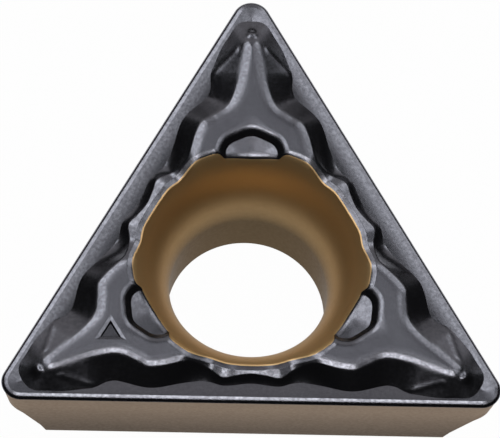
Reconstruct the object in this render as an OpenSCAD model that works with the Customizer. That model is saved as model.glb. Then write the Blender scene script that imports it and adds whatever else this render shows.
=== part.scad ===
// Indexable turning insert, positive triangle with a moulded chipbreaker.
// Millimetres. The seat is at z = 0 and the clamping hole's axis is the Z axis.
// One corner points along +Y, and the cutting edges lie at the height of the thickness.

/* [Body] */
// Inscribed circle of the three cutting edges
ic = 6.35; // [6.1:0.05:7.2]
// Thickness from the seat to the cutting edges
thickness = 3.18; // [2.8:0.02:3.8]
// Nose radius at the cutting edge
nose_r = 0.4; // [0.3:0.02:0.6]
// Clearance angle of the flanks
clearance = 11; // [9:0.5:13]

/* [Clamping hole] */
// Bore for the clamping screw
bore_d = 3.3; // [3:0.05:3.6]
// Rim of the countersink on the plateau
csk_d = 5.04; // [4.8:0.02:5.16]
// Angle between the countersink's wall and the axis, at the rim
csk_angle = 50; // [44:1:60]
// Height of the chamfer round the bore at the seat
seat_chamfer = 0.34; // [0.2:0.02:0.5]

/* [Cutting edge] */
// Width of the honed edge on the rake face
hone_w = 0.13; // [0.1:0.01:0.16]
// Radius that leads from the flank to the honed edge
hone_r = 0.11; // [0.06:0.01:0.14]
// Angle at which the honed edge leans outwards
hone_lean = 13; // [8:1:18]

/* [Chipbreaker] */
// Angle at which the rake face falls away from the honed edge
rake = 12; // [8:0.5:15]
// Height of the plateau above the cutting edges
plateau_h = 0.2; // [0.12:0.01:0.28]
// Height of the lobes at the middle of each side above the cutting edges
lobe_h = 0.03; // [0.01:0.01:0.1]
// Slope of the lobes, rising towards the hole
lobe_slope = 14; // [8:1:20]
// Width of the band that rounds the top edge of the plateau
edge_band = 0.13; // [0.08:0.01:0.16]
// Angle at which that band leans outwards
edge_lean = 13; // [8:1:18]

/* [Fingers] */
// Gap from the nose to the end of the finger
finger_back = 0.95; // [0.88:0.01:1.1]
// Width of the finger at its end
finger_tip_w = 0.22; // [0.16:0.01:0.3]
// Width of the finger at its root
finger_root_w = 0.6; // [0.5:0.01:0.7]
// Length of the finger from its end to its root
finger_len = 1; // [0.8:0.02:1.15]

/* [Ribs and bumps] */
// Gap from the nose to the point where the two ribs would meet
rib_back = 0.85; // [0.8:0.01:0.95]
// Angle between a rib and the middle of the corner
rib_lean = 45; // [42:0.5:50]
// Where a rib starts, across from the middle of the corner
rib_start = 0.33; // [0.22:0.01:0.4]
// Where a rib ends, across from the middle of the corner
rib_end = 0.83; // [0.7:0.01:0.9]
// Width of a rib at its foot
rib_w = 0.12; // [0.08:0.01:0.14]
// Height of a rib above the wall it lies on
rib_h = 0.035; // [0.02:0.005:0.06]
// Depth of the groove between a rib and the finger
groove_depth = 0.02; // [0.01:0.005:0.03]
// Gap from the nose to the middle of the bump
bump_back = 0.71; // [0.66:0.01:0.76]
// Radius of the bump's ball
bump_r = 0.2; // [0.14:0.01:0.26]
// Height of the bump above the wall it lies on
bump_h = 0.08; // [0.05:0.01:0.1]

/* [Recesses] */
// Radius of the arched recess in front of each corner
recess_r = 0.74; // [0.6:0.01:0.78]
// Distance from the hole's axis to the far wall of the recess
recess_reach = 2.95; // [2.85:0.01:3.05]
// Depth of the recess below the plateau
recess_depth = 0.12; // [0.08:0.01:0.15]
// Width of the recess's sloping wall
recess_wall = 0.12; // [0.06:0.01:0.16]
// Width of the band that rounds the top edge of the recess
recess_edge = 0.12; // [0.06:0.01:0.14]
// Side of the triangular index dimple
dimple_side = 0.43; // [0.36:0.01:0.48]
// Distance from the hole's axis to the middle of the dimple
dimple_at = 3.39; // [3.36:0.01:3.5]
// Depth of the dimple at its walls
dimple_depth = 0.08; // [0.06:0.01:0.1]

/* [Corner relief] */
// Radius of the hollow relief under each nose
relief_r = 12; // [8:0.5:20]
// Depth below the cutting edge at which the relief starts
relief_start = 0.95; // [0.8:0.01:1.1]
// How far the relief has cut in from the nose at the seat
relief_in = 1.06; // [0.95:0.01:1.2]

/* [Hidden] */

// Facet lines from the middle of a corner to the middle of a side, and how much closer they lie at the corner
half_lines = 36;
line_crowding = 1.5;
hone_steps = 3;
arc_steps = 9;

inradius = ic / 2;
half_edge = inradius * tan(60);
nose_tip = ic - nose_r;
nose_centre = ic - 2 * nose_r;
plateau_z = thickness + plateau_h;
rim_r = csk_d / 2;
bore_r = bore_d / 2;

// Plan curves of the chipbreaker, from the middle of a corner to the middle of a side.
// Plateau edge round the hole: angle from the corner, distance outside the countersink's rim
plateau_edge = [[7.7, 1.06], [13.8, 0.85], [18.8, 0.76], [23, 0.54], [27.9, 0.25], [32.2, 0.105]];
// Lobe edge: distance along the side from its middle, distance in from the cutting edge
lobe_edge = [[0.9, 0.75], [0.6, 0.55], [0.3, 0.6], [0, 0.64]];
// Foot of the wall by the corner: distance along the side from the sharp corner, distance in from the edge
foot_by_corner = [[0.95, 0.205], [1.3, 0.19], [1.6, 0.19], [2, 0.25], [2.25, 0.3], [2.45, 0.43],
                  [2.7, 0.475], [3.4, 0.31]];
// Foot of the wall by the middle of the side: distance along the side, distance in from the edge
foot_by_middle = [[1.5, 0.42], [1.1, 0.47], [0.6, 0.395], [0, 0.465]];
// Foot of the wall behind the nose
foot_back = 0.44;
// Angles from the corner between which the plateau falls to the lobes
neck = [27, 42];
// Places of the rows between the plateau's edge and the hole, as shares of the way
inner_rows = [0.1, 0.25, 0.5, 0.8];
// Angle between the middle of the recess and the shoulders of its outline, and how far its flats are drawn in
recess_bend = 50;
recess_flat = 0.05;

// Smooth step from 0 to 1 as x goes from a to b
function ease(a, b, x) = let (u = max(0, min(1, (x - a) / (b - a)))) u * u * (3 - 2 * u);

// Angle and radius of a point given across and along the middle of a corner
function from_corner(across, along) = [atan2(across, along), norm([across, along])];

// Angle and radius of a point given along a side and in from its cutting edge
function from_side(along, inset) = [60 - atan2(along, inradius - inset), norm([along, inradius - inset])];

// Slope of a smooth curve at its point i: flat at both ends, as the next piece mirrors it
function slope_at(p, i) =
    i == 0 || i == len(p) - 1 ? 0 : (p[i + 1].y - p[i - 1].y) / (p[i + 1].x - p[i - 1].x);

// Smooth curve through the points p, read at x
function curve(p, x, i = 0) =
    i < len(p) - 2 && x > p[i + 1].x ? curve(p, x, i + 1) :
    let (w = p[i + 1].x - p[i].x, u = (x - p[i].x) / w)
    p[i].y * (1 + 2 * u) * pow(1 - u, 2) + p[i + 1].y * u * u * (3 - 2 * u)
    + w * slope_at(p, i) * u * pow(1 - u, 2) - w * slope_at(p, i + 1) * u * u * (1 - u);

finger_end = nose_tip - finger_back;
finger_root = finger_end - finger_len;
island_curve = concat(
    [[0, finger_end], from_corner(finger_tip_w / 2, finger_end - finger_tip_w / 3),
     from_corner((finger_tip_w + finger_root_w) / 4, finger_end - finger_len / 2),
     from_corner(finger_root_w / 2, finger_root)],
    [for (p = plateau_edge) [p.x, rim_r + p.y]],
    [for (p = lobe_edge) from_side(p.x, p.y)]);
foot_curve = concat(
    [[0, nose_tip - foot_back]],
    [for (p = foot_by_corner) from_side(half_edge - p.x, p.y)],
    [for (p = foot_by_middle) from_side(p.x, p.y)]);

// Radius of the rounded triangle at angle a, drawn in by inset
function outline_r(a, inset) =
    let (r = nose_r - inset, tangent = atan2(r * sin(60), nose_centre + r * cos(60)))
    r > 0 && a < tangent
        ? nose_centre * cos(a) + sqrt(max(0, r * r - pow(nose_centre * sin(a), 2)))
        : (inradius - inset) / cos(60 - a);

// Distance in from the cutting edge of the point at angle a and radius r
function inset_of(a, r) =
    let (across = r * sin(a), beyond = r * cos(a) - nose_centre)
    beyond > 0 && atan2(across, beyond) < 60 ? nose_r - norm([across, beyond]) : inradius - r * cos(60 - a);

// Height of the rake face at angle a and radius r
function rake_z(a, r) = thickness - (inset_of(a, r) - hone_w) * tan(rake);

// The two curves as chains of points, carried on a little past both ends of their sector
function island_r(a) = curve(island_curve, a);
function foot_r(a) = curve(foot_curve, a);
function line_angle(i) = 60 * pow(i / half_lines, line_crowding);
chain_angles = [for (i = [-14:half_lines + 4])
    i < 0 ? -line_angle(-i) : i > half_lines ? 120 - line_angle(2 * half_lines - i) : line_angle(i)];
function folded(a) = 60 - abs(60 - abs(a));
island_line = [for (a = chain_angles) island_r(folded(a)) * [sin(a), cos(a)]];
foot_line = [for (a = chain_angles) foot_r(folded(a)) * [sin(a), cos(a)]];

// Nearest place to the point p on a chain
function nearest(p, line) =
    let (places = [for (i = [0:len(line) - 2])
            let (d = line[i + 1] - line[i], t = ((p - line[i]) * d) / (d * d))
            line[i] + max(0, min(1, t)) * d],
        gaps = [for (q = places) norm(p - q)])
    places[search(min(gaps), gaps)[0]];

// Island: how far outside its edge a point lies, the plateau that falls to the lobes, and its rounded edge
function outside(a, r) =
    let (p = r * [sin(a), cos(a)], d = norm(p - nearest(p, island_line)))
    r < island_r(a) ? -d : d;
function plateau_share(a) = 1 - ease(neck[0], neck[1], a);
function flat_z(a, r) =
    let (lobe_z = thickness + lobe_h + (island_r(a) - r) * tan(lobe_slope))
    lobe_z + (plateau_z - lobe_z) * plateau_share(a);
function edge_drop(a, out) = max(0, edge_band + out) * tan(edge_lean) * plateau_share(a);
function top_z(a, r) = flat_z(a, r) - edge_drop(a, outside(a, r));

// Wall: it spans the gap between the island's edge and the nearest place on the foot
function wall_z(a, r) =
    let (p = r * [sin(a), cos(a)],
        foot = nearest(p, foot_line),
        low = rake_z(atan2(abs(foot.x), foot.y), norm(foot)),
        high = flat_z(a, r) - edge_drop(a, 0),
        out = max(0, outside(a, r)),
        share = out / (out + norm(p - foot)))
    high - (high - low) * share;

// Ribs: where their crest lies, and how much of their height stands at angle a
function rib_line(a) = (nose_tip - rib_back) * sin(rib_lean) / sin(rib_lean + a);
function rib_r(a) = max(island_r(a) + 1.2 * rib_w, min(rib_line(a), foot_r(a) - rib_w));
function rib_share(a) =
    let (x = rib_line(a) * sin(a))
    ease(rib_start - rib_w / 2, rib_start + rib_w / 2, x)
    * (1 - ease(rib_end - rib_w / 2, rib_end + rib_w / 2, x));

// One facet line at angle a from a corner: its points, from the seat over the edge to the hole
inner_r = rim_r - 0.6;
hone_stop = 60;
hone_land = hone_w - hone_r * (sin(hone_stop) - sin(hone_lean));
function facet_line(a) = concat(
    [[outline_r(a, thickness * tan(clearance)), 0],
     [outline_r(a, 1.25 * relief_start * tan(clearance)), thickness - 1.25 * relief_start]],
    [for (k = [0:hone_steps])
        let (t = hone_stop + (hone_lean - hone_stop) * k / hone_steps)
        [outline_r(a, hone_w - hone_land - hone_r * (sin(t) - sin(hone_lean))),
         thickness - hone_land * tan(hone_lean) - hone_r * (cos(hone_lean) - cos(t))]],
    [[outline_r(a, hone_w), thickness]],
    [let (f = foot_r(a)) [f, rake_z(a, f)]],
    [for (side = [1, 0, -1])
        let (r = rib_r(a) + side * rib_w / 2, lift = [-groove_depth, rib_h, 0][side + 1])
        [r, wall_z(a, r) + lift * rib_share(a)]],
    [let (i = island_r(a)) [i, flat_z(a, i) - edge_drop(a, 0)]],
    [for (s = inner_rows) let (r = island_r(a) + s * (rim_r - island_r(a))) [r, top_z(a, r)]],
    [[inner_r, flat_z(a, inner_r)]]);

// The blank is a loft through the facet lines all the way round
module blank() {
    sixth = [for (i = [0:half_lines]) facet_line(line_angle(i))];
    lines = [for (c = [0:2], i = [-half_lines:half_lines - 1])
        [90 + 120 * c + sign(i) * line_angle(abs(i)), sixth[abs(i)]]];
    count = len(lines);
    rings = len(lines[0][1]);
    points = concat(
        [for (k = [0:rings - 1], l = lines) [l[1][k].x * cos(l[0]), l[1][k].x * sin(l[0]), l[1][k].y]],
        [[0, 0, 0], [0, 0, plateau_z]]);
    seat_mid = rings * count;
    sides = [for (k = [0:rings - 2], j = [0:count - 1])
        let (a = k * count + j, b = k * count + (j + 1) % count)
        each [[a, a + count, b], [b, a + count, b + count]]];
    seat = [for (j = [0:count - 1]) [seat_mid, j, (j + 1) % count]];
    top = [for (j = [0:count - 1])
        [seat_mid + 1, (rings - 1) * count + (j + 1) % count, (rings - 1) * count + j]];
    polyhedron(points, concat(sides, seat, top));
}

// Low ball in front of each finger, for the chip to ride over
module bump() {
    at = nose_tip - bump_back;
    translate([0, at, wall_z(0, at) + bump_h - bump_r]) sphere(r = bump_r, $fn = 32);
}

// Screw hole: chamfer at the seat, straight bore, and a countersink that is an arc in section
module clamping_hole() {
    flare = (rim_r - bore_r) / (1 - cos(csk_angle));
    throat = plateau_z - flare * sin(csk_angle);
    past = csk_angle + 4;
    reach = seat_chamfer + 1;
    rotate_extrude($fn = 72)
        polygon(concat(
            [[0, -1], [bore_r + reach, -1], [bore_r, seat_chamfer]],
            [for (k = [0:arc_steps])
                let (t = past * k / arc_steps)
                [bore_r + flare * (1 - cos(t)), throat + flare * sin(t)]],
            [[bore_r + flare * (1 - cos(past)), plateau_z + 1], [0, plateau_z + 1]]));
}

// Arched recess with a rounded edge, a sloping wall and a flat floor, open to the hole
module recess() {
    over = 0.2;
    edge_depth = recess_edge * tan(edge_lean);
    points = [for (t = [-180:5:175])
        recess_r / (1 + recess_flat * pow(sin(180 * t / recess_bend), 2)) * [sin(t), cos(t)]];
    foot = 1 - recess_wall / recess_r;
    top = 1 + recess_edge / recess_r;
    translate([0, recess_reach - recess_r, plateau_z - recess_depth]) {
        linear_extrude(recess_depth - edge_depth, scale = 1 / foot) scale(foot) polygon(points);
        translate([0, 0, recess_depth - edge_depth])
            linear_extrude(edge_depth + over, scale = top + over * (top - 1) / edge_depth) polygon(points);
    }
}

// Shallow triangular dimple with a bevelled edge and a floor that dips in the middle
module index_dimple() {
    over = 0.05;
    corner = dimple_side / sqrt(3);
    bevel_w = 0.1;
    bevel_depth = 0.03;
    wall_w = 0.04;
    dip = 0.02;
    translate([0, dimple_at, plateau_z]) rotate(90) {
        translate([0, 0, -bevel_depth])
            cylinder(h = bevel_depth + over, r1 = corner,
                     r2 = corner + bevel_w * (1 + over / bevel_depth), $fn = 3);
        translate([0, 0, -dimple_depth])
            cylinder(h = dimple_depth, r1 = corner - wall_w, r2 = corner, $fn = 3);
        translate([0, 0, -dimple_depth - dip])
            cylinder(h = dip + 0.01, r1 = 0, r2 = (corner - wall_w) * (1 + 0.01 / dip), $fn = 3);
    }
}

// Hollow under the nose: a large cylinder across the corner, through two points of its middle section
module corner_relief() {
    start = [nose_tip - relief_start * tan(clearance), thickness - relief_start];
    end = [nose_tip - relief_in, 0];
    chord = start - end;
    out = [chord.y, -chord.x] / norm(chord);
    centre = (start + end) / 2 + out * sqrt(pow(relief_r, 2) - pow(norm(chord) / 2, 2));
    translate([0, centre.x, centre.y])
        rotate([0, 90, 0]) cylinder(h = ic, r = relief_r, center = true, $fn = 180);
}

module insert() {
    color([0.3, 0.3, 0.32])
        difference() {
            union() {
                blank();
                for (c = [0:2]) rotate(120 * c) bump();
            }
            clamping_hole();
            for (c = [0:2]) rotate(120 * c) recess();
            for (c = [0:2]) rotate(120 * c) corner_relief();
            rotate(120) index_dimple();
        }
}

insert();
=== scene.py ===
import math

import bpy
import numpy as np
from mathutils import Matrix, Vector


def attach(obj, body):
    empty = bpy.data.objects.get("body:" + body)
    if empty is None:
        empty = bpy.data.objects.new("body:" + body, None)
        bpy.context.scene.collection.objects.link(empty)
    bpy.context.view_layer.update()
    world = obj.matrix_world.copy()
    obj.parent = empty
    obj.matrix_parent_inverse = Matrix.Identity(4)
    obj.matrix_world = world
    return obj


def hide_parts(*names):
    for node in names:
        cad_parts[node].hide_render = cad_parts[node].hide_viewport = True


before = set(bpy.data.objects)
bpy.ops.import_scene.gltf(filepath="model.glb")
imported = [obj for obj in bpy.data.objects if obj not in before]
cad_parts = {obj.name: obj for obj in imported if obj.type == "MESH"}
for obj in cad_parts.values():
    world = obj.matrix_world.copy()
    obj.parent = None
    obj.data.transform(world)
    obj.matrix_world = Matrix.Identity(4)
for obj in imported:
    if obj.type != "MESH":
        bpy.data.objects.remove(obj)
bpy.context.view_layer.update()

# %% [markdown]
# ## Sizes
# An insert is made to a standard: the inscribed circle, the thickness, the nose radius and the
# clearance angle say almost everything about the body. They are written here in millimetres, as they
# stand in a tool catalogue, and one factor turns them into Blender's metres at the very end.
# %% Sizes of the body, in millimetres and degrees
MM = 0.001
sixth_turn = 60
inscribed_circle = 6.35
thickness = 3.18
nose_radius = 0.4
clearance = math.radians(11)
bore_radius = 1.65
rim_radius = 2.52
countersink_angle = math.radians(50)
seat_chamfer = 0.34
hone_width = 0.13
hone_height = 0.066
rake = math.radians(11)
rake_hollow = 0.14
nose_rake_share = 0.35
nose_rake_zone = (0.25, 1.1)
plateau_height = 0.2
lobe_height = 0.03
lobe_slope = math.radians(12.5)

inradius = inscribed_circle / 2
half_corner = math.radians(sixth_turn)
half_edge = inradius * math.tan(half_corner)
nose_tip = inscribed_circle - nose_radius
nose_centre = inscribed_circle - 2 * nose_radius
plateau_z = thickness + plateau_height
print(f"cutting edge {2 * half_edge:.2f} mm long, nose tip {nose_tip:.2f} mm from the hole's axis")

# %% [markdown]
# ## Plan curves
# Seen from above, two wavy lines make the chipbreaker: the edge of the raised island, and the foot of
# the wall that leads up to it. Both are smooth, and both can be read as one distance for each angle
# from the middle of a corner. A few points hold each line, and a smooth curve runs through them. Points
# by a corner are measured from the corner, and points by a side from that side, as a toolmaker would
# set them out.
# %% A smooth curve through a few points
def smooth_curve(points, x):
    """Cubic through points (x, y), flat at both ends, read at the array x."""
    px, py = np.array(points, float).T
    slope = np.zeros(len(px))
    slope[1:-1] = (py[2:] - py[:-2]) / (px[2:] - px[:-2])
    i = np.clip(np.searchsorted(px, x) - 1, 0, len(px) - 2)
    width = px[i + 1] - px[i]
    u = (x - px[i]) / width
    return (
        py[i] * (1 + 2 * u) * (1 - u) ** 2
        + py[i + 1] * u**2 * (3 - 2 * u)
        + width * slope[i] * u * (1 - u) ** 2
        - width * slope[i + 1] * u**2 * (1 - u)
    )


def from_corner(across, along):
    """Angle and radius of a point given across and along the middle line of a corner."""
    return math.degrees(math.atan2(across, along)), math.hypot(across, along)


def from_side(along, inset):
    """Angle and radius of a point given along a side and in from its cutting edge."""
    reach = inradius - inset
    return sixth_turn - math.degrees(math.atan2(along, reach)), math.hypot(along, reach)


# %% The island's edge and the foot of its wall
finger_end = nose_tip - 0.95
finger_length = 1.0
finger_tip_width = 0.3
finger_root_width = 0.64
island_points = [
    (0, finger_end),
    from_corner(finger_tip_width / 2, finger_end - finger_tip_width / 3),
    from_corner((finger_tip_width + finger_root_width) / 4, finger_end - finger_length / 2),
    from_corner(finger_root_width / 2, finger_end - finger_length),
]
# degrees from the corner, and millimetres out from the hole's rim
plateau_edge = [(7.7, 1.06), (13.8, 0.85), (18.8, 0.76), (23, 0.54), (27.9, 0.25), (32.2, 0.105)]
# millimetres along the side from its middle, and in from the cutting edge
lobe_edge = [(0.9, 0.75), (0.6, 0.55), (0.3, 0.6), (0, 0.64)]
island_points += [(angle, rim_radius + out) for angle, out in plateau_edge]
island_points += [from_side(*point) for point in lobe_edge]
foot_back = 0.44
foot_points = [(0, nose_tip - foot_back)]
# millimetres along the side from its corner, then from its middle, and in from the cutting edge
foot_by_corner = [(0.95, 0.205), (1.3, 0.19), (1.6, 0.19), (2, 0.25), (2.25, 0.3), (2.45, 0.43)]
foot_by_corner += [(2.7, 0.475), (3.4, 0.31)]
foot_by_side = [(1.5, 0.43), (1.1, 0.5), (0.85, 0.48), (0.6, 0.4), (0, 0.465)]
foot_points += [from_side(half_edge - along, inset) for along, inset in foot_by_corner]
foot_points += [from_side(*point) for point in foot_by_side]
# degrees between which the plateau goes over into the lobe
neck_start, neck_stop = 27, 42


def island_radius(angle):
    return smooth_curve(island_points, angle)


def foot_radius(angle):
    return smooth_curve(foot_points, angle)


print(f"island from {island_radius(np.array([sixth_turn]))[0]:.2f} to {finger_end:.2f} mm from the axis")


# %% [markdown]
# ## Outline and distances
# The cutting edge is a triangle with round corners. Drawn in by some distance it gives the honed edge,
# and drawn in further with every step down it gives the flanks, which lean in by the clearance angle.
# The nose becomes a cone that way.
# %% Radius of the rounded triangle, and distance from it
def outline_radius(angle, inset):
    """Distance from the axis to the triangle drawn in by inset, at degrees from the corner."""
    angle, inset = np.broadcast_arrays(np.radians(angle), inset)
    r = nose_radius - inset
    tangent = np.arctan2(r * math.sin(half_corner), nose_centre + r * math.cos(half_corner))
    on_nose = (r > 0) & (angle < tangent)
    half_chord = np.sqrt(np.maximum(0, r**2 - (nose_centre * np.sin(angle)) ** 2))
    nose = nose_centre * np.cos(angle) + half_chord
    return np.where(on_nose, nose, (inradius - inset) / np.cos(half_corner - angle))


def edge_distance(x, y):
    """Distance in from the cutting edge, with the corner along +Y and x not negative."""
    beyond = y - nose_centre
    in_nose = (beyond > 0) & (np.arctan2(x, beyond) < half_corner)
    side = inradius - x * math.sin(half_corner) - y * math.cos(half_corner)
    return np.where(in_nose, nose_radius - np.hypot(x, beyond), side)


at_nose, at_side = outline_radius(0, 0), outline_radius(sixth_turn, 0)
print(f"outline {at_nose:.2f} mm from the axis at the nose, {at_side:.3f} mm at the middle of a side")


# %% Soft steps and corners, and the nearest place on a line
def ease(a, b, x):
    """Smooth step from 0 at a to 1 at b."""
    u = np.clip((x - a) / (b - a), 0, 1)
    return u * u * (3 - 2 * u)


def soft_min(a, b, blend):
    """The lower of a and b, with the corner between them rounded over a height of about blend."""
    h = np.clip(0.5 + 0.5 * (b - a) / blend, 0, 1)
    return b + (a - b) * h - blend * h * (1 - h)


def nearest(x, y, line):
    """Distance from points to a chain of straight pieces, and the nearest place on it."""
    start, step = line[:-1], np.diff(line, axis=0)
    px, py = x[..., None] - start[:, 0], y[..., None] - start[:, 1]
    t = np.clip((px * step[:, 0] + py * step[:, 1]) / (step**2).sum(1), 0, 1)
    away = np.hypot(px - t * step[:, 0], py - t * step[:, 1])
    best = away.argmin(-1)
    t = np.take_along_axis(t, best[..., None], -1)[..., 0]
    return away.min(-1), start[best, 0] + t * step[best, 0], start[best, 1] + t * step[best, 1]


# %% [markdown]
# ## The chipbreaker as a height map
# A die forms the rake face in one stroke, so it has no overhangs, and one height for each point in plan
# describes it. From the honed edge the face falls at the rake angle to the foot line, slightly hollow,
# and more gently at the noses. The wall climbs from there to the island. Ribs and a small bump lie in
# front of each corner, and a half-moon recess lies between each corner and the hole. One formula could
# cover the whole face, but one small function for each form can be tuned by itself against a
# photograph.
# %% Sizes of the rounded edges, the ribs, the bump and the recess
edge_band = 0.16
bevel = math.radians(11.5)
rib_start = (0.33, 4.77)
rib_stop = (0.83, 4.26)
rib_spread = 0.05
rib_lift = 0.01
rib_fade = 0.1
lift_fade = 0.12
bump_at = nose_tip - 0.79
bump_spread = 0.1
bump_lift = 0.035
recess_radius = 0.74
recess_reach = 2.95
recess_edge = 0.12
recess_wall = 0.12
recess_bend = 50
recess_flat = 0.05
# millimetres in from the recess's outline, and down from the plateau
recess_section = [(-recess_edge, 0), (-0.06, 0.009), (0, 0.027)]
recess_section += [(recess_wall, 0.105), (recess_radius, 0.17)]
wall_least = 0.1
wall_blend = 0.01
edge_blend = 0.016

sweep_start, sweep_stop, sweep_points = -30, 90, 481
sweep = np.linspace(sweep_start, sweep_stop, sweep_points)
folded = sixth_turn - np.abs(sixth_turn - np.abs(sweep))


def plan_line(radius):
    return np.stack([radius * np.sin(np.radians(sweep)), radius * np.cos(np.radians(sweep))], 1)


island_line = plan_line(island_radius(folded))
foot_line = plan_line(foot_radius(folded))
print(f"two plan lines of {len(sweep)} points each, from {sweep_start} to {sweep_stop} degrees")


# %% How the island's top lies, and the recess in it
def island_top(x, y, angle):
    """Height of the island: a flat plateau, and lobes at the sides that rise towards the hole."""
    share = ease(neck_start, neck_stop, angle)
    inside = island_radius(angle) - np.hypot(x, y)
    lobe = thickness + lobe_height + inside * math.tan(lobe_slope)
    return plateau_z + (lobe - plateau_z) * share


def arch(x, along):
    """How much nearer than a circle the recess's outline lies, between its point and its shoulders."""
    return 1 + recess_flat * np.sin(np.arctan2(x, along) * math.pi / math.radians(recess_bend)) ** 2


def recess_drop(x, y):
    """Depth below the plateau: a rounded edge, a wall, and a floor that falls a little to the hole."""
    along = y - (recess_reach - recess_radius)
    inwards = recess_radius - np.hypot(x, along) * arch(x, along)
    return np.interp(inwards, *zip(*recess_section))


# %% Height of the rake face, without the countersink
def fall_height(x, y):
    """Height of the slope behind the honed edge: steeper further in, and gentler near the nose."""
    inset = edge_distance(x, y) - hone_width
    away_from_nose = ease(*nose_rake_zone, np.hypot(x, y - nose_centre))
    share = nose_rake_share + (1 - nose_rake_share) * away_from_nose
    return thickness - inset * share * (math.tan(rake) + rake_hollow * inset)


def rake_height(x, y):
    """Height of the rake face, with the corner along +Y and x not negative."""
    angle = np.degrees(np.arctan2(x, y))
    radius = np.hypot(x, y)
    fall = fall_height(x, y)
    to_foot, foot_x, foot_y = nearest(x, y, foot_line)
    to_island = nearest(x, y, island_line)[0]
    inside_island = radius < island_radius(angle)
    out = np.where(inside_island, -to_island, to_island)
    top = island_top(x, y, angle)
    lean = math.tan(bevel) * (1 - ease(neck_start, neck_stop, angle))
    edge = top - lean * edge_band
    width = np.maximum(to_foot + out, wall_least)
    slope = (edge - fall_height(np.abs(foot_x), foot_y)) / width
    wall = soft_min(edge - slope * out, top - lean * (edge_band + out), wall_blend)
    wall = soft_min(wall, top, edge_blend)
    rib = nearest(x, y, np.array([rib_start, rib_stop]))[0]
    bump = np.hypot(x, y - bump_at)
    lift = rib_lift * np.exp(-((rib / rib_spread) ** 2)) * ease(0, rib_fade, to_foot)
    lift = lift + bump_lift * np.exp(-((bump / bump_spread) ** 2))
    lift = lift * ease(0, lift_fade, out)
    face = np.where(radius < foot_radius(angle), wall + lift, fall)
    return face - recess_drop(x, y) * inside_island


print(f"plateau at {float(rake_height(np.array(0.0), np.array(3.4))):.3f} mm")

# %% [markdown]
# ## The hole
# The screw's head pulls the insert into its pocket, and the countersink it bears on is curved, so that
# the screw can lean a little. In section it is an arc that starts straight down the bore and leans 50
# degrees at the rim. Because the rake face is not flat, the rim is not a circle: on every line it lies
# where the face meets the arc, and a short search finds it.
# %% Countersink arc and the rim on each line
flare = (rim_radius - bore_radius) / (1 - math.cos(countersink_angle))
throat = plateau_z - flare * math.sin(countersink_angle)
rim_nearest = bore_radius + 0.3
rim_furthest = rim_radius + 0.05
halvings = 40


def countersink_height(radius):
    """Height of the countersink's wall at a distance from the axis."""
    lean = np.arccos(np.clip(1 - (radius - bore_radius) / flare, -1, 1))
    return throat + flare * np.sin(lean)


def find_rim(angle):
    """Distance from the axis at which the rake face meets the countersink, by halving an interval."""
    low, high = np.full(angle.shape, rim_nearest), np.full(angle.shape, rim_furthest)
    for _ in range(halvings):
        middle = (low + high) / 2
        x, y = middle * np.sin(np.radians(angle)), middle * np.cos(np.radians(angle))
        above = rake_height(x, y) > countersink_height(middle)
        low, high = np.where(above, middle, low), np.where(above, high, middle)
    return (low + high) / 2


# %% [markdown]
# ## Hollow relief under the nose
# Below the cutting edge each corner is hollowed by a large cylinder that lies across it, so that the
# sharp lower corner can't foul the pocket. The cylinder passes through two points of the corner's
# middle section.
# %% Relief radius at each height
relief_radius = 12.0
relief_below_edge = 0.95
relief_back = 1.06
relief_blend = 0.02
relief_top = Vector((nose_tip - relief_below_edge * math.tan(clearance), thickness - relief_below_edge))
relief_seat = Vector((nose_tip - relief_back, 0.0))
chord = relief_top - relief_seat
outward = Vector((chord.y, -chord.x)).normalized()
chord_to_centre = math.sqrt(relief_radius**2 - (chord.length / 2) ** 2)
relief_centre = (relief_top + relief_seat) / 2 + outward * chord_to_centre


def relief_reach(z):
    """How far out along the middle of the corner the hollow leaves the body, at a height."""
    return relief_centre.x - np.sqrt(relief_radius**2 - (z - relief_centre.y) ** 2)


# %% [markdown]
# ## One sixth of the body
# Lines fan out from the hole's axis, close together at the corner where the detail is. Every line
# carries the same number of points, from the seat over the flank, the edge, the rake face and down the
# hole, so the points of all lines form a grid, and the creases that the die makes run along rows of
# that grid instead of across its faces.
# %% Fan of lines, and rows of points between two curves
half_lines = 118
crowding = 1.35
angles = sixth_turn * (np.arange(half_lines + 1) / half_lines) ** crowding
sin_a, cos_a = np.sin(np.radians(angles)), np.cos(np.radians(angles))


def rows_between(start, stop, count, last=False):
    """Evenly spaced rows from start to stop, without the last one unless it is asked for."""
    steps = np.arange(count + 1) / count
    steps = steps if last else steps[:-1]
    return [start + (stop - start) * step for step in steps]


# %% Rows of the flank, from the seat up to the honed edge
flank_top = np.full(half_lines + 1, thickness - hone_height)
crease_least = 0.03


def flank_radius(z):
    """Flank at a height, with the relief cut from it and the crease between them slightly rounded."""
    body = outline_radius(angles, (thickness - z) * math.tan(clearance))
    return soft_min(body, relief_reach(z) / cos_a, relief_blend)


def crease_height():
    """Height at which the relief runs out into the flank, on each line."""
    low, high = np.zeros(half_lines + 1), flank_top
    for _ in range(halvings):
        middle = (low + high) / 2
        flank = outline_radius(angles, (thickness - middle) * math.tan(clearance))
        cut = relief_reach(middle) / cos_a < flank
        low, high = np.where(cut, middle, low), np.where(cut, high, middle)
    return np.maximum(high, crease_least)


seat_break = 0.02
first_step = 0.004
below_crease, above_crease = 0.002, 0.06
crease = crease_height()
flank_z = [np.full(half_lines + 1, seat_break)]
flank_z += rows_between(flank_z[0] + first_step, crease - below_crease, 6)
flank_z += rows_between(crease - below_crease, crease + above_crease, 4)
flank_z += rows_between(crease + above_crease, flank_top, 5, last=True)
flank_rows = [(flank_radius(z), z) for z in flank_z]
print(f"relief starts {thickness - crease[0]:.2f} mm below the edge; {len(flank_rows)} rows on the flank")

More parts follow.
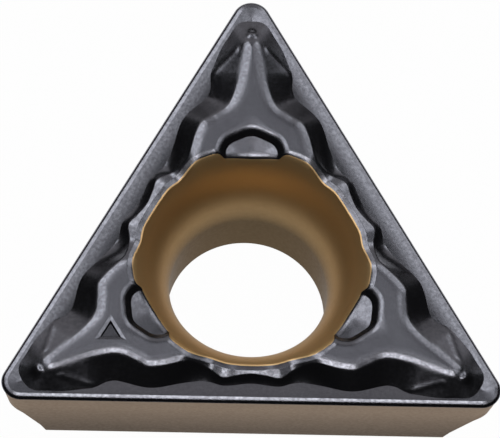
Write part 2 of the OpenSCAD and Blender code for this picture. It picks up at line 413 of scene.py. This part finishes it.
# %% Rows of the honed edge: an arc up from the flank, and a narrow land that leans outwards
hone_lean = math.radians(11.5)
hone_stop = math.radians(60)
hone_arc = 0.1
hone_steps = 7
hone_land = hone_width - hone_arc * (math.sin(hone_stop) - math.sin(hone_lean))
hone_rows = []
for turn in np.linspace(hone_stop, hone_lean, hone_steps):
    inset = hone_width - hone_land - hone_arc * (math.sin(turn) - math.sin(hone_lean))
    drop = hone_land * math.tan(hone_lean) + hone_arc * (math.cos(hone_lean) - math.cos(turn))
    hone_rows.append((outline_radius(angles, inset), (thickness - drop) * np.ones(half_lines + 1)))
for share in (0.5, 1):
    inset = hone_width - hone_land * (1 - share)
    drop = hone_land * math.tan(hone_lean) * (1 - share)
    hone_rows.append((outline_radius(angles, inset), (thickness - drop) * np.ones(half_lines + 1)))
print(f"{len(hone_rows)} rows on the honed edge, land {hone_land:.3f} mm wide")

# %% Rows of the rake face, laid along its creases
foot = foot_radius(angles)
island = island_radius(angles)
rim = find_rim(angles)
rim_break = 0.045
rim_land = 0.05
moon_centre = recess_reach - recess_radius
moon_spread = 0.35
moon_rounds = 30
tiny = 1e-9
start_share, edge_share, foot_share = 0.45, 0.3, 0.15
band_widths, band_share = 1.6, 0.7
slope_rows, wall_rows, band_rows, flat_rows = 6, 25, 12, 8
moon_edge_rows, moon_wall_rows, moon_floor_rows = 5, 6, 5
rim_outer = rim + rim_break + rim_land


def moon_row(radius, share):
    """Far side of the recess's arch on each line, kept between the rim and the island's edge."""
    far_side = np.zeros(half_lines + 1)
    for _ in range(moon_rounds):
        x, along = far_side * sin_a, np.maximum(far_side * cos_a, moon_centre) - moon_centre
        reach = radius / arch(x, along + tiny)
        root = reach**2 - (moon_centre * sin_a) ** 2
        far_side = np.where(root > 0, moon_centre * cos_a + np.sqrt(np.maximum(root, 0)), 0)
    return np.maximum(far_side, rim_outer + share * np.minimum(island - rim_outer, moon_spread))


moon_start = moon_row(recess_radius + recess_edge, start_share)
moon_edge = moon_row(recess_radius, edge_share)
moon_foot = moon_row(recess_radius - recess_wall, foot_share)
band_stop = np.maximum(island - band_widths * edge_band, island + band_share * (moon_start - island))
rake_radii = rows_between(outline_radius(angles, hone_width), foot, slope_rows)[1:]
foot_row = len(rake_radii)
rake_radii += rows_between(foot, island, wall_rows)
rake_radii += rows_between(island, band_stop, band_rows)
rake_radii += rows_between(band_stop, moon_start, flat_rows)
rake_radii += rows_between(moon_start, moon_edge, moon_edge_rows)
rake_radii += rows_between(moon_edge, moon_foot, moon_wall_rows)
moon_foot_row = len(rake_radii)
rake_radii += rows_between(moon_foot, rim_outer, moon_floor_rows, last=True)
rake_rows = [(r, rake_height(r * sin_a, r * cos_a)) for r in rake_radii]
print(f"{len(rake_rows)} rows on the rake face")

# %% Rows of the rim, countersink, bore, chamfer and seat
rim_steps, countersink_steps, bore_steps, seat_steps = 6, 17, 2, 3
rim_low = rim - rim_break
rim_drop = rim_land * math.tan(bevel)
land_end = rake_rows[-1][0] - rim_land, rake_rows[-1][1] - rim_drop
rim_top = rim, land_end[1] - rim_break * math.tan(bevel)
rim_stop = rim_low, countersink_height(rim_low)
rim_rows = [((rake_rows[-1][0] + land_end[0]) / 2, (rake_rows[-1][1] + land_end[1]) / 2), land_end]
rim_curve = list(zip(land_end, rim_top, rim_stop))
for t in np.linspace(0, 1, rim_steps + 1)[1:]:
    rim_rows.append([a * (1 - t) ** 2 + 2 * b * t * (1 - t) + c * t**2 for a, b, c in rim_curve])
hole_rows = []
lean_at_rim = np.arccos(1 - (rim_low - bore_radius) / flare)
for t in np.linspace(1, 0, countersink_steps + 1)[1:]:
    lean = lean_at_rim * t
    hole_rows.append((bore_radius + flare * (1 - np.cos(lean)), throat + flare * np.sin(lean)))
level = np.ones(half_lines + 1)
for z in np.linspace(throat, seat_chamfer, bore_steps + 1)[1:]:
    hole_rows.append((bore_radius * level, z * level))
for t in (0.5, 1):
    hole_rows.append(((bore_radius + seat_chamfer * t) * level, seat_chamfer * (1 - t) * level))
seat_edge = flank_rows[0][0] - seat_break
seat_rows = []
for t in np.linspace(0, 1, seat_steps + 1)[1:]:
    seat_rows.append(((bore_radius + seat_chamfer) * (1 - t) * level + seat_edge * t, 0 * level))
print(f"rim from {rim.min():.3f} to {rim.max():.3f} mm, throat at {throat:.2f} mm")

# %% The grid becomes a mesh, with a mark on the faces of the rake side
rows = flank_rows + hone_rows + rake_rows + rim_rows + hole_rows + seat_rows
hone_row = len(flank_rows)
rake_row = hone_row + len(hone_rows)
dark_rim_rows = 5
first_dark = hone_row + 1
last_dark = rake_row + len(rake_rows) + dark_rim_rows
grid = np.array([[r * sin_a, r * cos_a, z] for r, z in rows]).transpose(0, 2, 1) * MM
row_count, line_count = grid.shape[:2]
faces = []
dark = []
for k in range(row_count):
    this, following = k * line_count, (k + 1) % row_count * line_count
    for i in range(line_count - 1):
        faces.append((this + i, following + i, following + i + 1, this + i + 1))
        dark.append(first_dark <= k + 1 <= last_dark)
sixth = bpy.data.meshes.new("half_corner")
sixth.from_pydata(grid.reshape(-1, 3).tolist(), [], faces)
sixth.attributes.new("rake_side", "BOOLEAN", "FACE").data.foreach_set("value", dark)
crease_rows = {hone_row, rake_row - 1, rake_row + foot_row, rake_row + moon_foot_row}
on_crease = []
for edge in sixth.edges:
    row, other = (v // line_count for v in edge.vertices)
    on_crease.append(row == other and row in crease_rows)
sixth.attributes.new("pressed_crease", "BOOLEAN", "EDGE").data.foreach_set("value", on_crease)
insert = bpy.data.objects.new("coated_insert", sixth)
bpy.context.collection.objects.link(insert)
print(f"half corner: {row_count} rows by {line_count} lines, {len(faces)} faces")

# %% [markdown]
# ## The two coatings
# The body is sintered carbide under a coating a few thousandths of a millimetre thick. The rake face is
# covered by a dark ceramic layer with a cold sheen. On the flanks and in the hole the layer looks
# bronze. Both are satin: under a lens they show the grain of the pressed powder. One function makes
# both finishes, because both mix two colours by the same grain and clouds, and differ in colours,
# roughness and how much they look like metal. The bronze one also darkens towards the seat, and goes
# from light to dark down the hole. All patterns are laid on the body's own coordinates, so that they
# stay with it.
# %% Helper for material nodes
def add_node(tree, kind, inputs=None, **settings):
    """Adds a node, sets its settings and its inputs, where an input may be a value or a socket to link."""
    node = tree.nodes.new(kind)
    for name, value in settings.items():
        setattr(node, name, value)
    for name, value in (inputs or {}).items():
        socket = node.inputs[name]
        if isinstance(value, bpy.types.NodeSocket):
            tree.links.new(value, socket)
        else:
            socket.default_value = value
    return node


def colour_between(tree, share, low, high):
    """Mixes two colours by a share."""
    mix = add_node(tree, "ShaderNodeMix", data_type="RGBA")
    tree.links.new(share, mix.inputs["Factor"])
    for name, value in (("A", low), ("B", high)):
        socket = [s for s in mix.inputs if s.name == name and s.type == "RGBA"][0]
        if isinstance(value, bpy.types.NodeSocket):
            tree.links.new(value, socket)
        else:
            socket.default_value = (*value, 1)
    return [s for s in mix.outputs if s.type == "RGBA"][0]


def remap(tree, value, from_low, from_high, to_low, to_high):
    """Carries a number from one range to another, and stops it at the ends."""
    sockets = {"Value": value, "From Min": from_low, "From Max": from_high}
    sockets |= {"To Min": to_low, "To Max": to_high}
    return add_node(tree, "ShaderNodeMapRange", sockets).outputs["Result"]


# %% A satin coating over sintered grain, with painted shade for the bronze one
grain_size = 0.07 * MM
cloud_size = 0.9 * MM
grain_contrast = (0.35, 0.68, 0.15, 0.75)
cloud_contrast = (0.35, 0.65, -0.12, 0.12)
rough_from, rough_to = 0.3, 0.7
rougher, smoother = 0.05, 0.04
# painted shade: heights over which the flank darkens towards the seat, and over which the hole goes from
# shaded below to lit by the rim
flank_shade_fade = (0.1 * thickness * MM, 0.75 * thickness * MM)
hole_shade_fade = (0.48 * thickness * MM, 0.95 * thickness * MM)
rim_fade = (rim_radius * MM, (rim_radius + 0.05) * MM)


def painted_shade_on_hole_and_flank(tree, place, colour, hole_lit_and_shaded_tints, seat_shade_share):
    """Paints shade: the hole goes from a shaded colour low down to a lit one by the rim, and the flank's
    colour darkens towards the seat.
    """
    flat = add_node(tree, "ShaderNodeVectorMath", {0: place, 1: (1, 1, 0)}, operation="MULTIPLY").outputs[0]
    reach = add_node(tree, "ShaderNodeVectorMath", {0: flat}, operation="LENGTH").outputs["Value"]
    height = add_node(tree, "ShaderNodeSeparateXYZ", {0: place}).outputs["Z"]
    raised = remap(tree, height, *flank_shade_fade, seat_shade_share, 1.0)
    shaded_flank = add_node(tree, "ShaderNodeVectorMath", {0: colour, "Scale": raised}, operation="SCALE")
    hole_light_share = remap(tree, height, *hole_shade_fade, 0.0, 1.0)
    hole = colour_between(tree, hole_light_share, *hole_lit_and_shaded_tints)
    outside = remap(tree, reach, *rim_fade, 0.0, 1.0)
    return colour_between(tree, outside, hole, shaded_flank.outputs[0])


def coating(
    name, tints, roughness, grain_height, metal=1.0, edge_tint=(1, 1, 1), hole_lit_and_shaded_tints=None, seat_shade_share=1.0
):
    """Satin coating of two tints mixed by grain and clouds, with painted shade in the hole and on the flank
    if hole tints are given.
    """
    material = bpy.data.materials.new(name)
    material.use_nodes = True
    tree = material.node_tree
    tree.nodes.clear()
    place = add_node(tree, "ShaderNodeTexCoord").outputs["Object"]
    grain = add_node(tree, "ShaderNodeTexNoise", {"Vector": place, "Scale": 1 / grain_size, "Detail": 3.0})
    clouds = add_node(tree, "ShaderNodeTexNoise", {"Vector": place, "Scale": 1 / cloud_size, "Detail": 4.0})
    share = remap(tree, grain.outputs["Fac"], *grain_contrast)
    cloudy = remap(tree, clouds.outputs["Fac"], *cloud_contrast)
    both = add_node(tree, "ShaderNodeMath", {0: share, 1: cloudy}, operation="ADD", use_clamp=True)
    colour = colour_between(tree, both.outputs[0], *tints)
    if hole_lit_and_shaded_tints:
        colour = painted_shade_on_hole_and_flank(tree, place, colour, hole_lit_and_shaded_tints, seat_shade_share)
    rough_range = (rough_from, rough_to, roughness + rougher, roughness - smoother)
    rough = remap(tree, grain.outputs["Fac"], *rough_range)
    raised_grain = {"Height": grain.outputs["Fac"], "Distance": grain_height, "Strength": 1.0}
    bump = add_node(tree, "ShaderNodeBump", raised_grain)
    surface = add_node(
        tree,
        "ShaderNodeBsdfPrincipled",
        {"Base Color": colour, "Roughness": rough, "Normal": bump.outputs["Normal"], "Metallic": metal},
    )
    surface.inputs["Specular Tint"].default_value = (*edge_tint, 1)
    output = add_node(tree, "ShaderNodeOutputMaterial")
    tree.links.new(surface.outputs["BSDF"], output.inputs["Surface"])
    return material


dark_tints = ((0.15, 0.15, 0.17), (0.205, 0.205, 0.23))
bronze_tints = ((0.285, 0.22, 0.165), (0.33, 0.26, 0.195))
rake_coating = coating("dark_rake_coating", dark_tints, 0.22, 0.0007 * MM)
bronze_coating = coating(
    "bronze_flank_coating",
    bronze_tints,
    0.42,
    0.0005 * MM,
    metal=0.75,
    edge_tint=(0.62, 0.52, 0.44),
    # painted shade: a dark tint low in the hole and a lit one by the rim, and the flank darkened to about a
    # quarter at the seat
    hole_lit_and_shaded_tints=((0.12, 0.085, 0.045), (0.98, 0.65, 0.31)),
    seat_shade_share=0.24,
)
print("coatings:", rake_coating.name, bronze_coating.name)

# %% [markdown]
# ## From a half corner to the whole insert
# The nodes do what the die does: they mirror the half corner, repeat the corner round the hole and weld
# the seams. The number of corners is an input, because the same rule makes a square insert from a
# quarter turn. The last two nodes give the bronze coating to the whole body, and then the dark one to
# the faces that the script marked.
# %% Node tree that mirrors, repeats and welds the corners
def corner_tree():
    tree = bpy.data.node_groups.new("repeat_corners", "GeometryNodeTree")
    sockets = {}
    for name, kind in (("Half corner", "Geometry"), ("Corners", "Int"), ("Weld distance", "Float")):
        sockets[name] = tree.interface.new_socket(name, in_out="INPUT", socket_type="NodeSocket" + kind)
    tree.interface.new_socket("Insert", in_out="OUTPUT", socket_type="NodeSocketGeometry")
    given = add_node(tree, "NodeGroupInput").outputs
    mirror = {"Geometry": given["Half corner"], "Scale": (-1, 1, 1)}
    mirrored = add_node(tree, "GeometryNodeTransform", mirror)
    turned_out = add_node(tree, "GeometryNodeFlipFaces", {"Mesh": mirrored.outputs["Geometry"]})
    corner = add_node(tree, "GeometryNodeJoinGeometry")
    tree.links.new(given["Half corner"], corner.inputs["Geometry"])
    tree.links.new(turned_out.outputs["Mesh"], corner.inputs["Geometry"])
    places = add_node(tree, "GeometryNodePoints", {"Count": given["Corners"]})
    index = add_node(tree, "GeometryNodeInputIndex").outputs["Index"]
    step = add_node(tree, "ShaderNodeMath", {0: math.tau, 1: given["Corners"]}, operation="DIVIDE")
    angle = add_node(tree, "ShaderNodeMath", {0: index, 1: step.outputs[0]}, operation="MULTIPLY")
    turn = add_node(tree, "ShaderNodeCombineXYZ", {"Z": angle.outputs[0]}).outputs["Vector"]
    copies = {"Points": places.outputs[0], "Instance": corner.outputs["Geometry"], "Rotation": turn}
    turns = add_node(tree, "GeometryNodeInstanceOnPoints", copies)
    real = add_node(tree, "GeometryNodeRealizeInstances", {"Geometry": turns.outputs["Instances"]})
    seams = {"Geometry": real.outputs["Geometry"], "Distance": given["Weld distance"]}
    welded = add_node(tree, "GeometryNodeMergeByDistance", seams)
    marked = add_node(tree, "GeometryNodeInputNamedAttribute", {"Name": "rake_side"}, data_type="BOOLEAN")
    everywhere = {"Geometry": welded.outputs["Geometry"], "Material": bronze_coating}
    bronze = add_node(tree, "GeometryNodeSetMaterial", everywhere)
    on_rake = {"Geometry": bronze.outputs["Geometry"], "Material": rake_coating}
    on_rake["Selection"] = marked.outputs["Attribute"]
    dark_side = add_node(tree, "GeometryNodeSetMaterial", on_rake)
    out = add_node(tree, "NodeGroupOutput")
    tree.links.new(dark_side.outputs["Geometry"], out.inputs["Insert"])
    return tree, sockets


# %% The whole insert
corner_count = 3
weld_distance = 0.0005 * MM
tree, sockets = corner_tree()
sixth.materials.append(bronze_coating)
repeat = insert.modifiers.new("corners", "NODES")
repeat.node_group = tree
repeat[sockets["Corners"].identifier] = corner_count
repeat[sockets["Weld distance"].identifier] = weld_distance
insert.update_tag()
whole = bpy.data.meshes.new_from_object(insert.evaluated_get(bpy.context.evaluated_depsgraph_get()))
insert.modifiers.clear()
insert.data = whole
whole.name = "coated_insert"
print(f"welded insert: {len(whole.vertices)} points, {len(whole.polygons)} faces")

# %% [markdown]
# ## The index dimple
# One corner carries a small three-sided dimple, pressed with the rest, so that the operator can tell
# which edge was used first. It is the only thing that breaks the threefold symmetry, so it is cut at
# the end, with a tapered three-sided punch and a boolean, which leaves its edges crisp.
# %% Punch for the dimple, on the left front corner
dimple_side = 0.44
dimple_middle = 3.4
dimple_corner = math.radians(210)
rim_wider = 0.22
# millimetres above the plateau, wider than the dimple, and lower at the last point
punch_section = [(0.02, 0.64, 0), (0, rim_wider, 0), (-0.0105, 0, 0), (-0.043, -0.09, 0.032)]


def punch_ring(side, z, dip):
    """Equal-sided triangle that points away from the hole, with its last point lower by dip."""
    ring = []
    for k in range(3):
        turn = dimple_corner + math.radians(120 * k)
        x = dimple_middle * math.cos(dimple_corner) + side / math.sqrt(3) * math.cos(turn)
        y = dimple_middle * math.sin(dimple_corner) + side / math.sqrt(3) * math.sin(turn)
        ring.append((x * MM, y * MM, (z - (dip if k == 2 else 0)) * MM))
    return ring


punch_points = []
for above, wider, dip in punch_section:
    punch_points += punch_ring(dimple_side + wider, plateau_z + above, dip)
punch_faces = [(0, 1, 2), tuple(len(punch_points) - k for k in (1, 2, 3))]
for ring in range(0, len(punch_points) - 3, 3):
    for k in range(3):
        following = (k + 1) % 3
        punch_faces.append((ring + following, ring + k, ring + 3 + k, ring + 3 + following))
punch_mesh = bpy.data.meshes.new("dimple_punch")
punch_mesh.from_pydata(punch_points, [], punch_faces)
punch = bpy.data.objects.new("dimple_punch", punch_mesh)
bpy.context.collection.objects.link(punch)
punch_mesh.materials.append(rake_coating)
cut = insert.modifiers.new("dimple", "BOOLEAN")
cut.object = punch
cut.operation = "DIFFERENCE"
cut.solver = "EXACT"
insert.data = bpy.data.meshes.new_from_object(insert.evaluated_get(bpy.context.evaluated_depsgraph_get()))
insert.modifiers.clear()
bpy.data.objects.remove(punch)
print(f"with the dimple: {len(insert.data.polygons)} faces")

# %% Smooth shading, with the true creases kept sharp
crease_angle = math.radians(35)
rake_from = 3
dimple_sides = (30, 150, 270)
rim_slack, mark_slack, dip_slack = 0.004, 0.002, 0.0005
insert.data.shade_smooth()
pressed = np.zeros(len(insert.data.edges), bool)
insert.data.attributes["pressed_crease"].data.foreach_get("value", pressed)
insert.data.set_sharp_from_angle(angle=crease_angle)
turned = np.zeros(len(insert.data.edges), bool)
insert.data.attributes["sharp_edge"].data.foreach_get("value", turned)
places = np.array([v.co[:] for v in insert.data.vertices]) / MM
centre = dimple_middle * np.array([math.cos(dimple_corner), math.sin(dimple_corner)])
reach = np.full(len(places), -1.0)
for side in dimple_sides:
    facing = np.array([math.cos(math.radians(side)), math.sin(math.radians(side))])
    reach = np.maximum(reach, (places[:, :2] - centre) @ facing)
rim_reach = (dimple_side + rim_wider) / (2 * math.sqrt(3)) + mark_slack
in_dimple = (reach < rim_reach) & (places[:, 2] > rake_from)
ends = np.array([e.vertices[:] for e in insert.data.edges])
punched = in_dimple[ends].all(1) & (places[ends][:, :, 2].min(1) < plateau_z - dip_slack)
on_rim = in_dimple[ends].all(1) & (reach[ends].min(1) > reach[in_dimple].max() - rim_slack)
insert.data.attributes["sharp_edge"].data.foreach_set("value", pressed | turned | punched | on_rim)
print(f"{pressed.sum()} edges of pressed creases, {turned.sum()} edges over the crease angle")
triangles = sum(len(p.vertices) - 2 for p in insert.data.polygons)
print(f"triangles: {triangles}, slots: {[m.name for m in insert.data.materials]}")

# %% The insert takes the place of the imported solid
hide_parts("insert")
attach(insert, "root")
print(f"{insert.name} rides on the root body and stands for the packed insert")

# %% [markdown]
# ## The studio
# The insert lies on a pale sheet in a dim room. Such parts are shot with small softboxes, because a
# shiny moulded face shows what it reflects. The box overhead draws the bright line along the front edge
# and the front of the island. Of the boxes at the back, the high ones light the slopes by the cutting
# edges on the side across from them, and the low ones the honed edges on their own side. The flat
# island reflects a large dim panel, and faces that lean away reflect a wide dim wall under it. The
# walls that face the camera reflect the dark front of the room. One wide box would be simpler, but
# every face would be as bright as the next.
# %% Pale floor, which keeps a faint shadow
floor_half = 0.6
floor_white = 0.86
floor_glow = 0.985
floor_below = 0.002 * MM
floor_mesh = bpy.data.meshes.new("pale_sheet")
corners = [(floor_half * x, floor_half * y) for x, y in ((-1, -1), (1, -1), (1, 1), (-1, 1))]
floor_mesh.from_pydata([(x, y, -floor_below) for x, y in corners], [], [(0, 1, 2, 3)])
floor = bpy.data.objects.new("pale_sheet", floor_mesh)
bpy.context.collection.objects.link(floor)
paper = bpy.data.materials.new("pale_paper")
paper.use_nodes = True
paper_tree = paper.node_tree
paper_tree.nodes.clear()
path = add_node(paper_tree, "ShaderNodeLightPath").outputs
seen = path["Is Camera Ray"]
for ray in ("Is Glossy Ray", "Is Transmission Ray"):
    seen = add_node(paper_tree, "ShaderNodeMath", {0: seen, 1: path[ray]}, operation="MAXIMUM").outputs[0]
glow_share = add_node(paper_tree, "ShaderNodeMath", {0: seen, 1: floor_glow}, operation="MULTIPLY")
sheet = add_node(paper_tree, "ShaderNodeBsdfDiffuse", {"Color": (floor_white, floor_white, floor_white, 1)})
glow = add_node(paper_tree, "ShaderNodeEmission", {"Color": (1, 1, 1, 1), "Strength": 1.0})
blend = {0: glow_share.outputs[0], 1: sheet.outputs["BSDF"], 2: glow.outputs["Emission"]}
paper_mix = add_node(paper_tree, "ShaderNodeMixShader", blend)
paper_out = add_node(paper_tree, "ShaderNodeOutputMaterial")
paper_tree.links.new(paper_mix.outputs["Shader"], paper_out.inputs["Surface"])
floor_mesh.materials.append(paper)
print(f"sheet {2 * floor_half:.1f} m wide, {floor_below / MM:.3f} mm below the seat")

# %% A softbox
def softbox(name, azimuth, elevation, distance, width, height, radiance, tint=(1, 1, 1)):
    """Area lamp aimed at the insert, as bright as a surface of the given radiance."""
    lamp = bpy.data.lights.new(name, "AREA")
    lamp.shape = "RECTANGLE"
    lamp.size, lamp.size_y = width, height
    lamp.energy = radiance * math.pi * width * height
    lamp.color = tint
    box = bpy.data.objects.new(name, lamp)
    bpy.context.collection.objects.link(box)
    az, el = math.radians(azimuth), math.radians(elevation)
    direction = Vector((math.sin(az) * math.cos(el), -math.cos(az) * math.cos(el), math.sin(el)))
    box.location = direction * distance
    box.rotation_euler = direction.to_track_quat("Z", "Y").to_euler()


# %% Seven boxes and the dim room
cool = (0.96, 0.98, 1)
room_light = 0.015
softbox("overhead_box", 0, 91, 0.5, 0.14, 0.075, 6.0)
softbox("left_back_box", -146, 67, 0.6, 0.2, 0.2, 2.2, cool)
softbox("left_edge_box", -154, 49, 0.6, 0.16, 0.14, 3.0, cool)
softbox("right_top_box", 132, 66, 0.6, 0.19, 0.16, 1.5, cool)
softbox("right_back_box", 148, 45, 0.6, 0.18, 0.18, 1.7, cool)
softbox("back_panel", 180, 66, 0.7, 0.34, 0.3, 0.26, (0.94, 0.96, 1))
softbox("back_wall", 178, 32, 0.7, 0.8, 0.38, 0.42, (1, 0.98, 0.98))
world = bpy.data.worlds.new("dim_room")
world.use_nodes = True
world.node_tree.nodes["Background"].inputs["Color"].default_value = (1, 1, 1, 1)
world.node_tree.nodes["Background"].inputs["Strength"].default_value = room_light
bpy.context.scene.world = world
bpy.context.scene.view_settings.view_transform = "Standard"
print(f"{len(bpy.data.lights)} boxes, room light {room_light}")

# %% [markdown]
# ## The camera
# A long lens from above shows the insert almost without perspective. Its place was found by laying the
# three edges, the nose arcs and the hole over the picture, and it is written as two angles, a roll and
# a distance.
# %% Long lens from the front and above
unit = inradius * MM
camera_elevation, camera_azimuth, camera_roll = (math.radians(a) for a in (66.634, 6.0909, -6.6827))
# distances in units of the inscribed circle's radius, then pixels to one unit and across the picture
camera_distance, look_right, look_up = 120.0, -0.042832, 0.28197
picture_scale = 152.1
picture_width = 500
sin_az, cos_az = math.sin(camera_azimuth), math.cos(camera_azimuth)
sin_el, cos_el = math.sin(camera_elevation), math.cos(camera_elevation)
towards = Vector((-cos_el * sin_az, -cos_el * cos_az, sin_el))
level_right = Vector((cos_az, -sin_az, 0))
level_up = Vector((sin_az * sin_el, cos_az * sin_el, cos_el))
right = math.cos(camera_roll) * level_right - math.sin(camera_roll) * level_up
up = math.sin(camera_roll) * level_right + math.cos(camera_roll) * level_up
look_from = look_right * level_right + look_up * level_up + camera_distance * towards
eye = Vector((0, 0, thickness * MM)) + unit * look_from
lens = bpy.data.cameras.new("long_lens")
lens.sensor_width = 36
lens.lens = picture_scale * camera_distance / picture_width * lens.sensor_width
lens.clip_start, lens.clip_end = 0.01, 10
camera = bpy.data.objects.new("long_lens", lens)
bpy.context.collection.objects.link(camera)
camera.matrix_world = Matrix.Translation(eye) @ Matrix((right, up, towards)).transposed().to_4x4()
bpy.context.scene.camera = camera
print(f"camera {eye.length * 1000:.0f} mm from the seat, {lens.lens:.0f} mm lens")

# %% [markdown]
# ## Finishing
# The looks mustn't change the dimensions. At the end the view layer is brought up to date.
# %% Finish
bpy.context.view_layer.update()
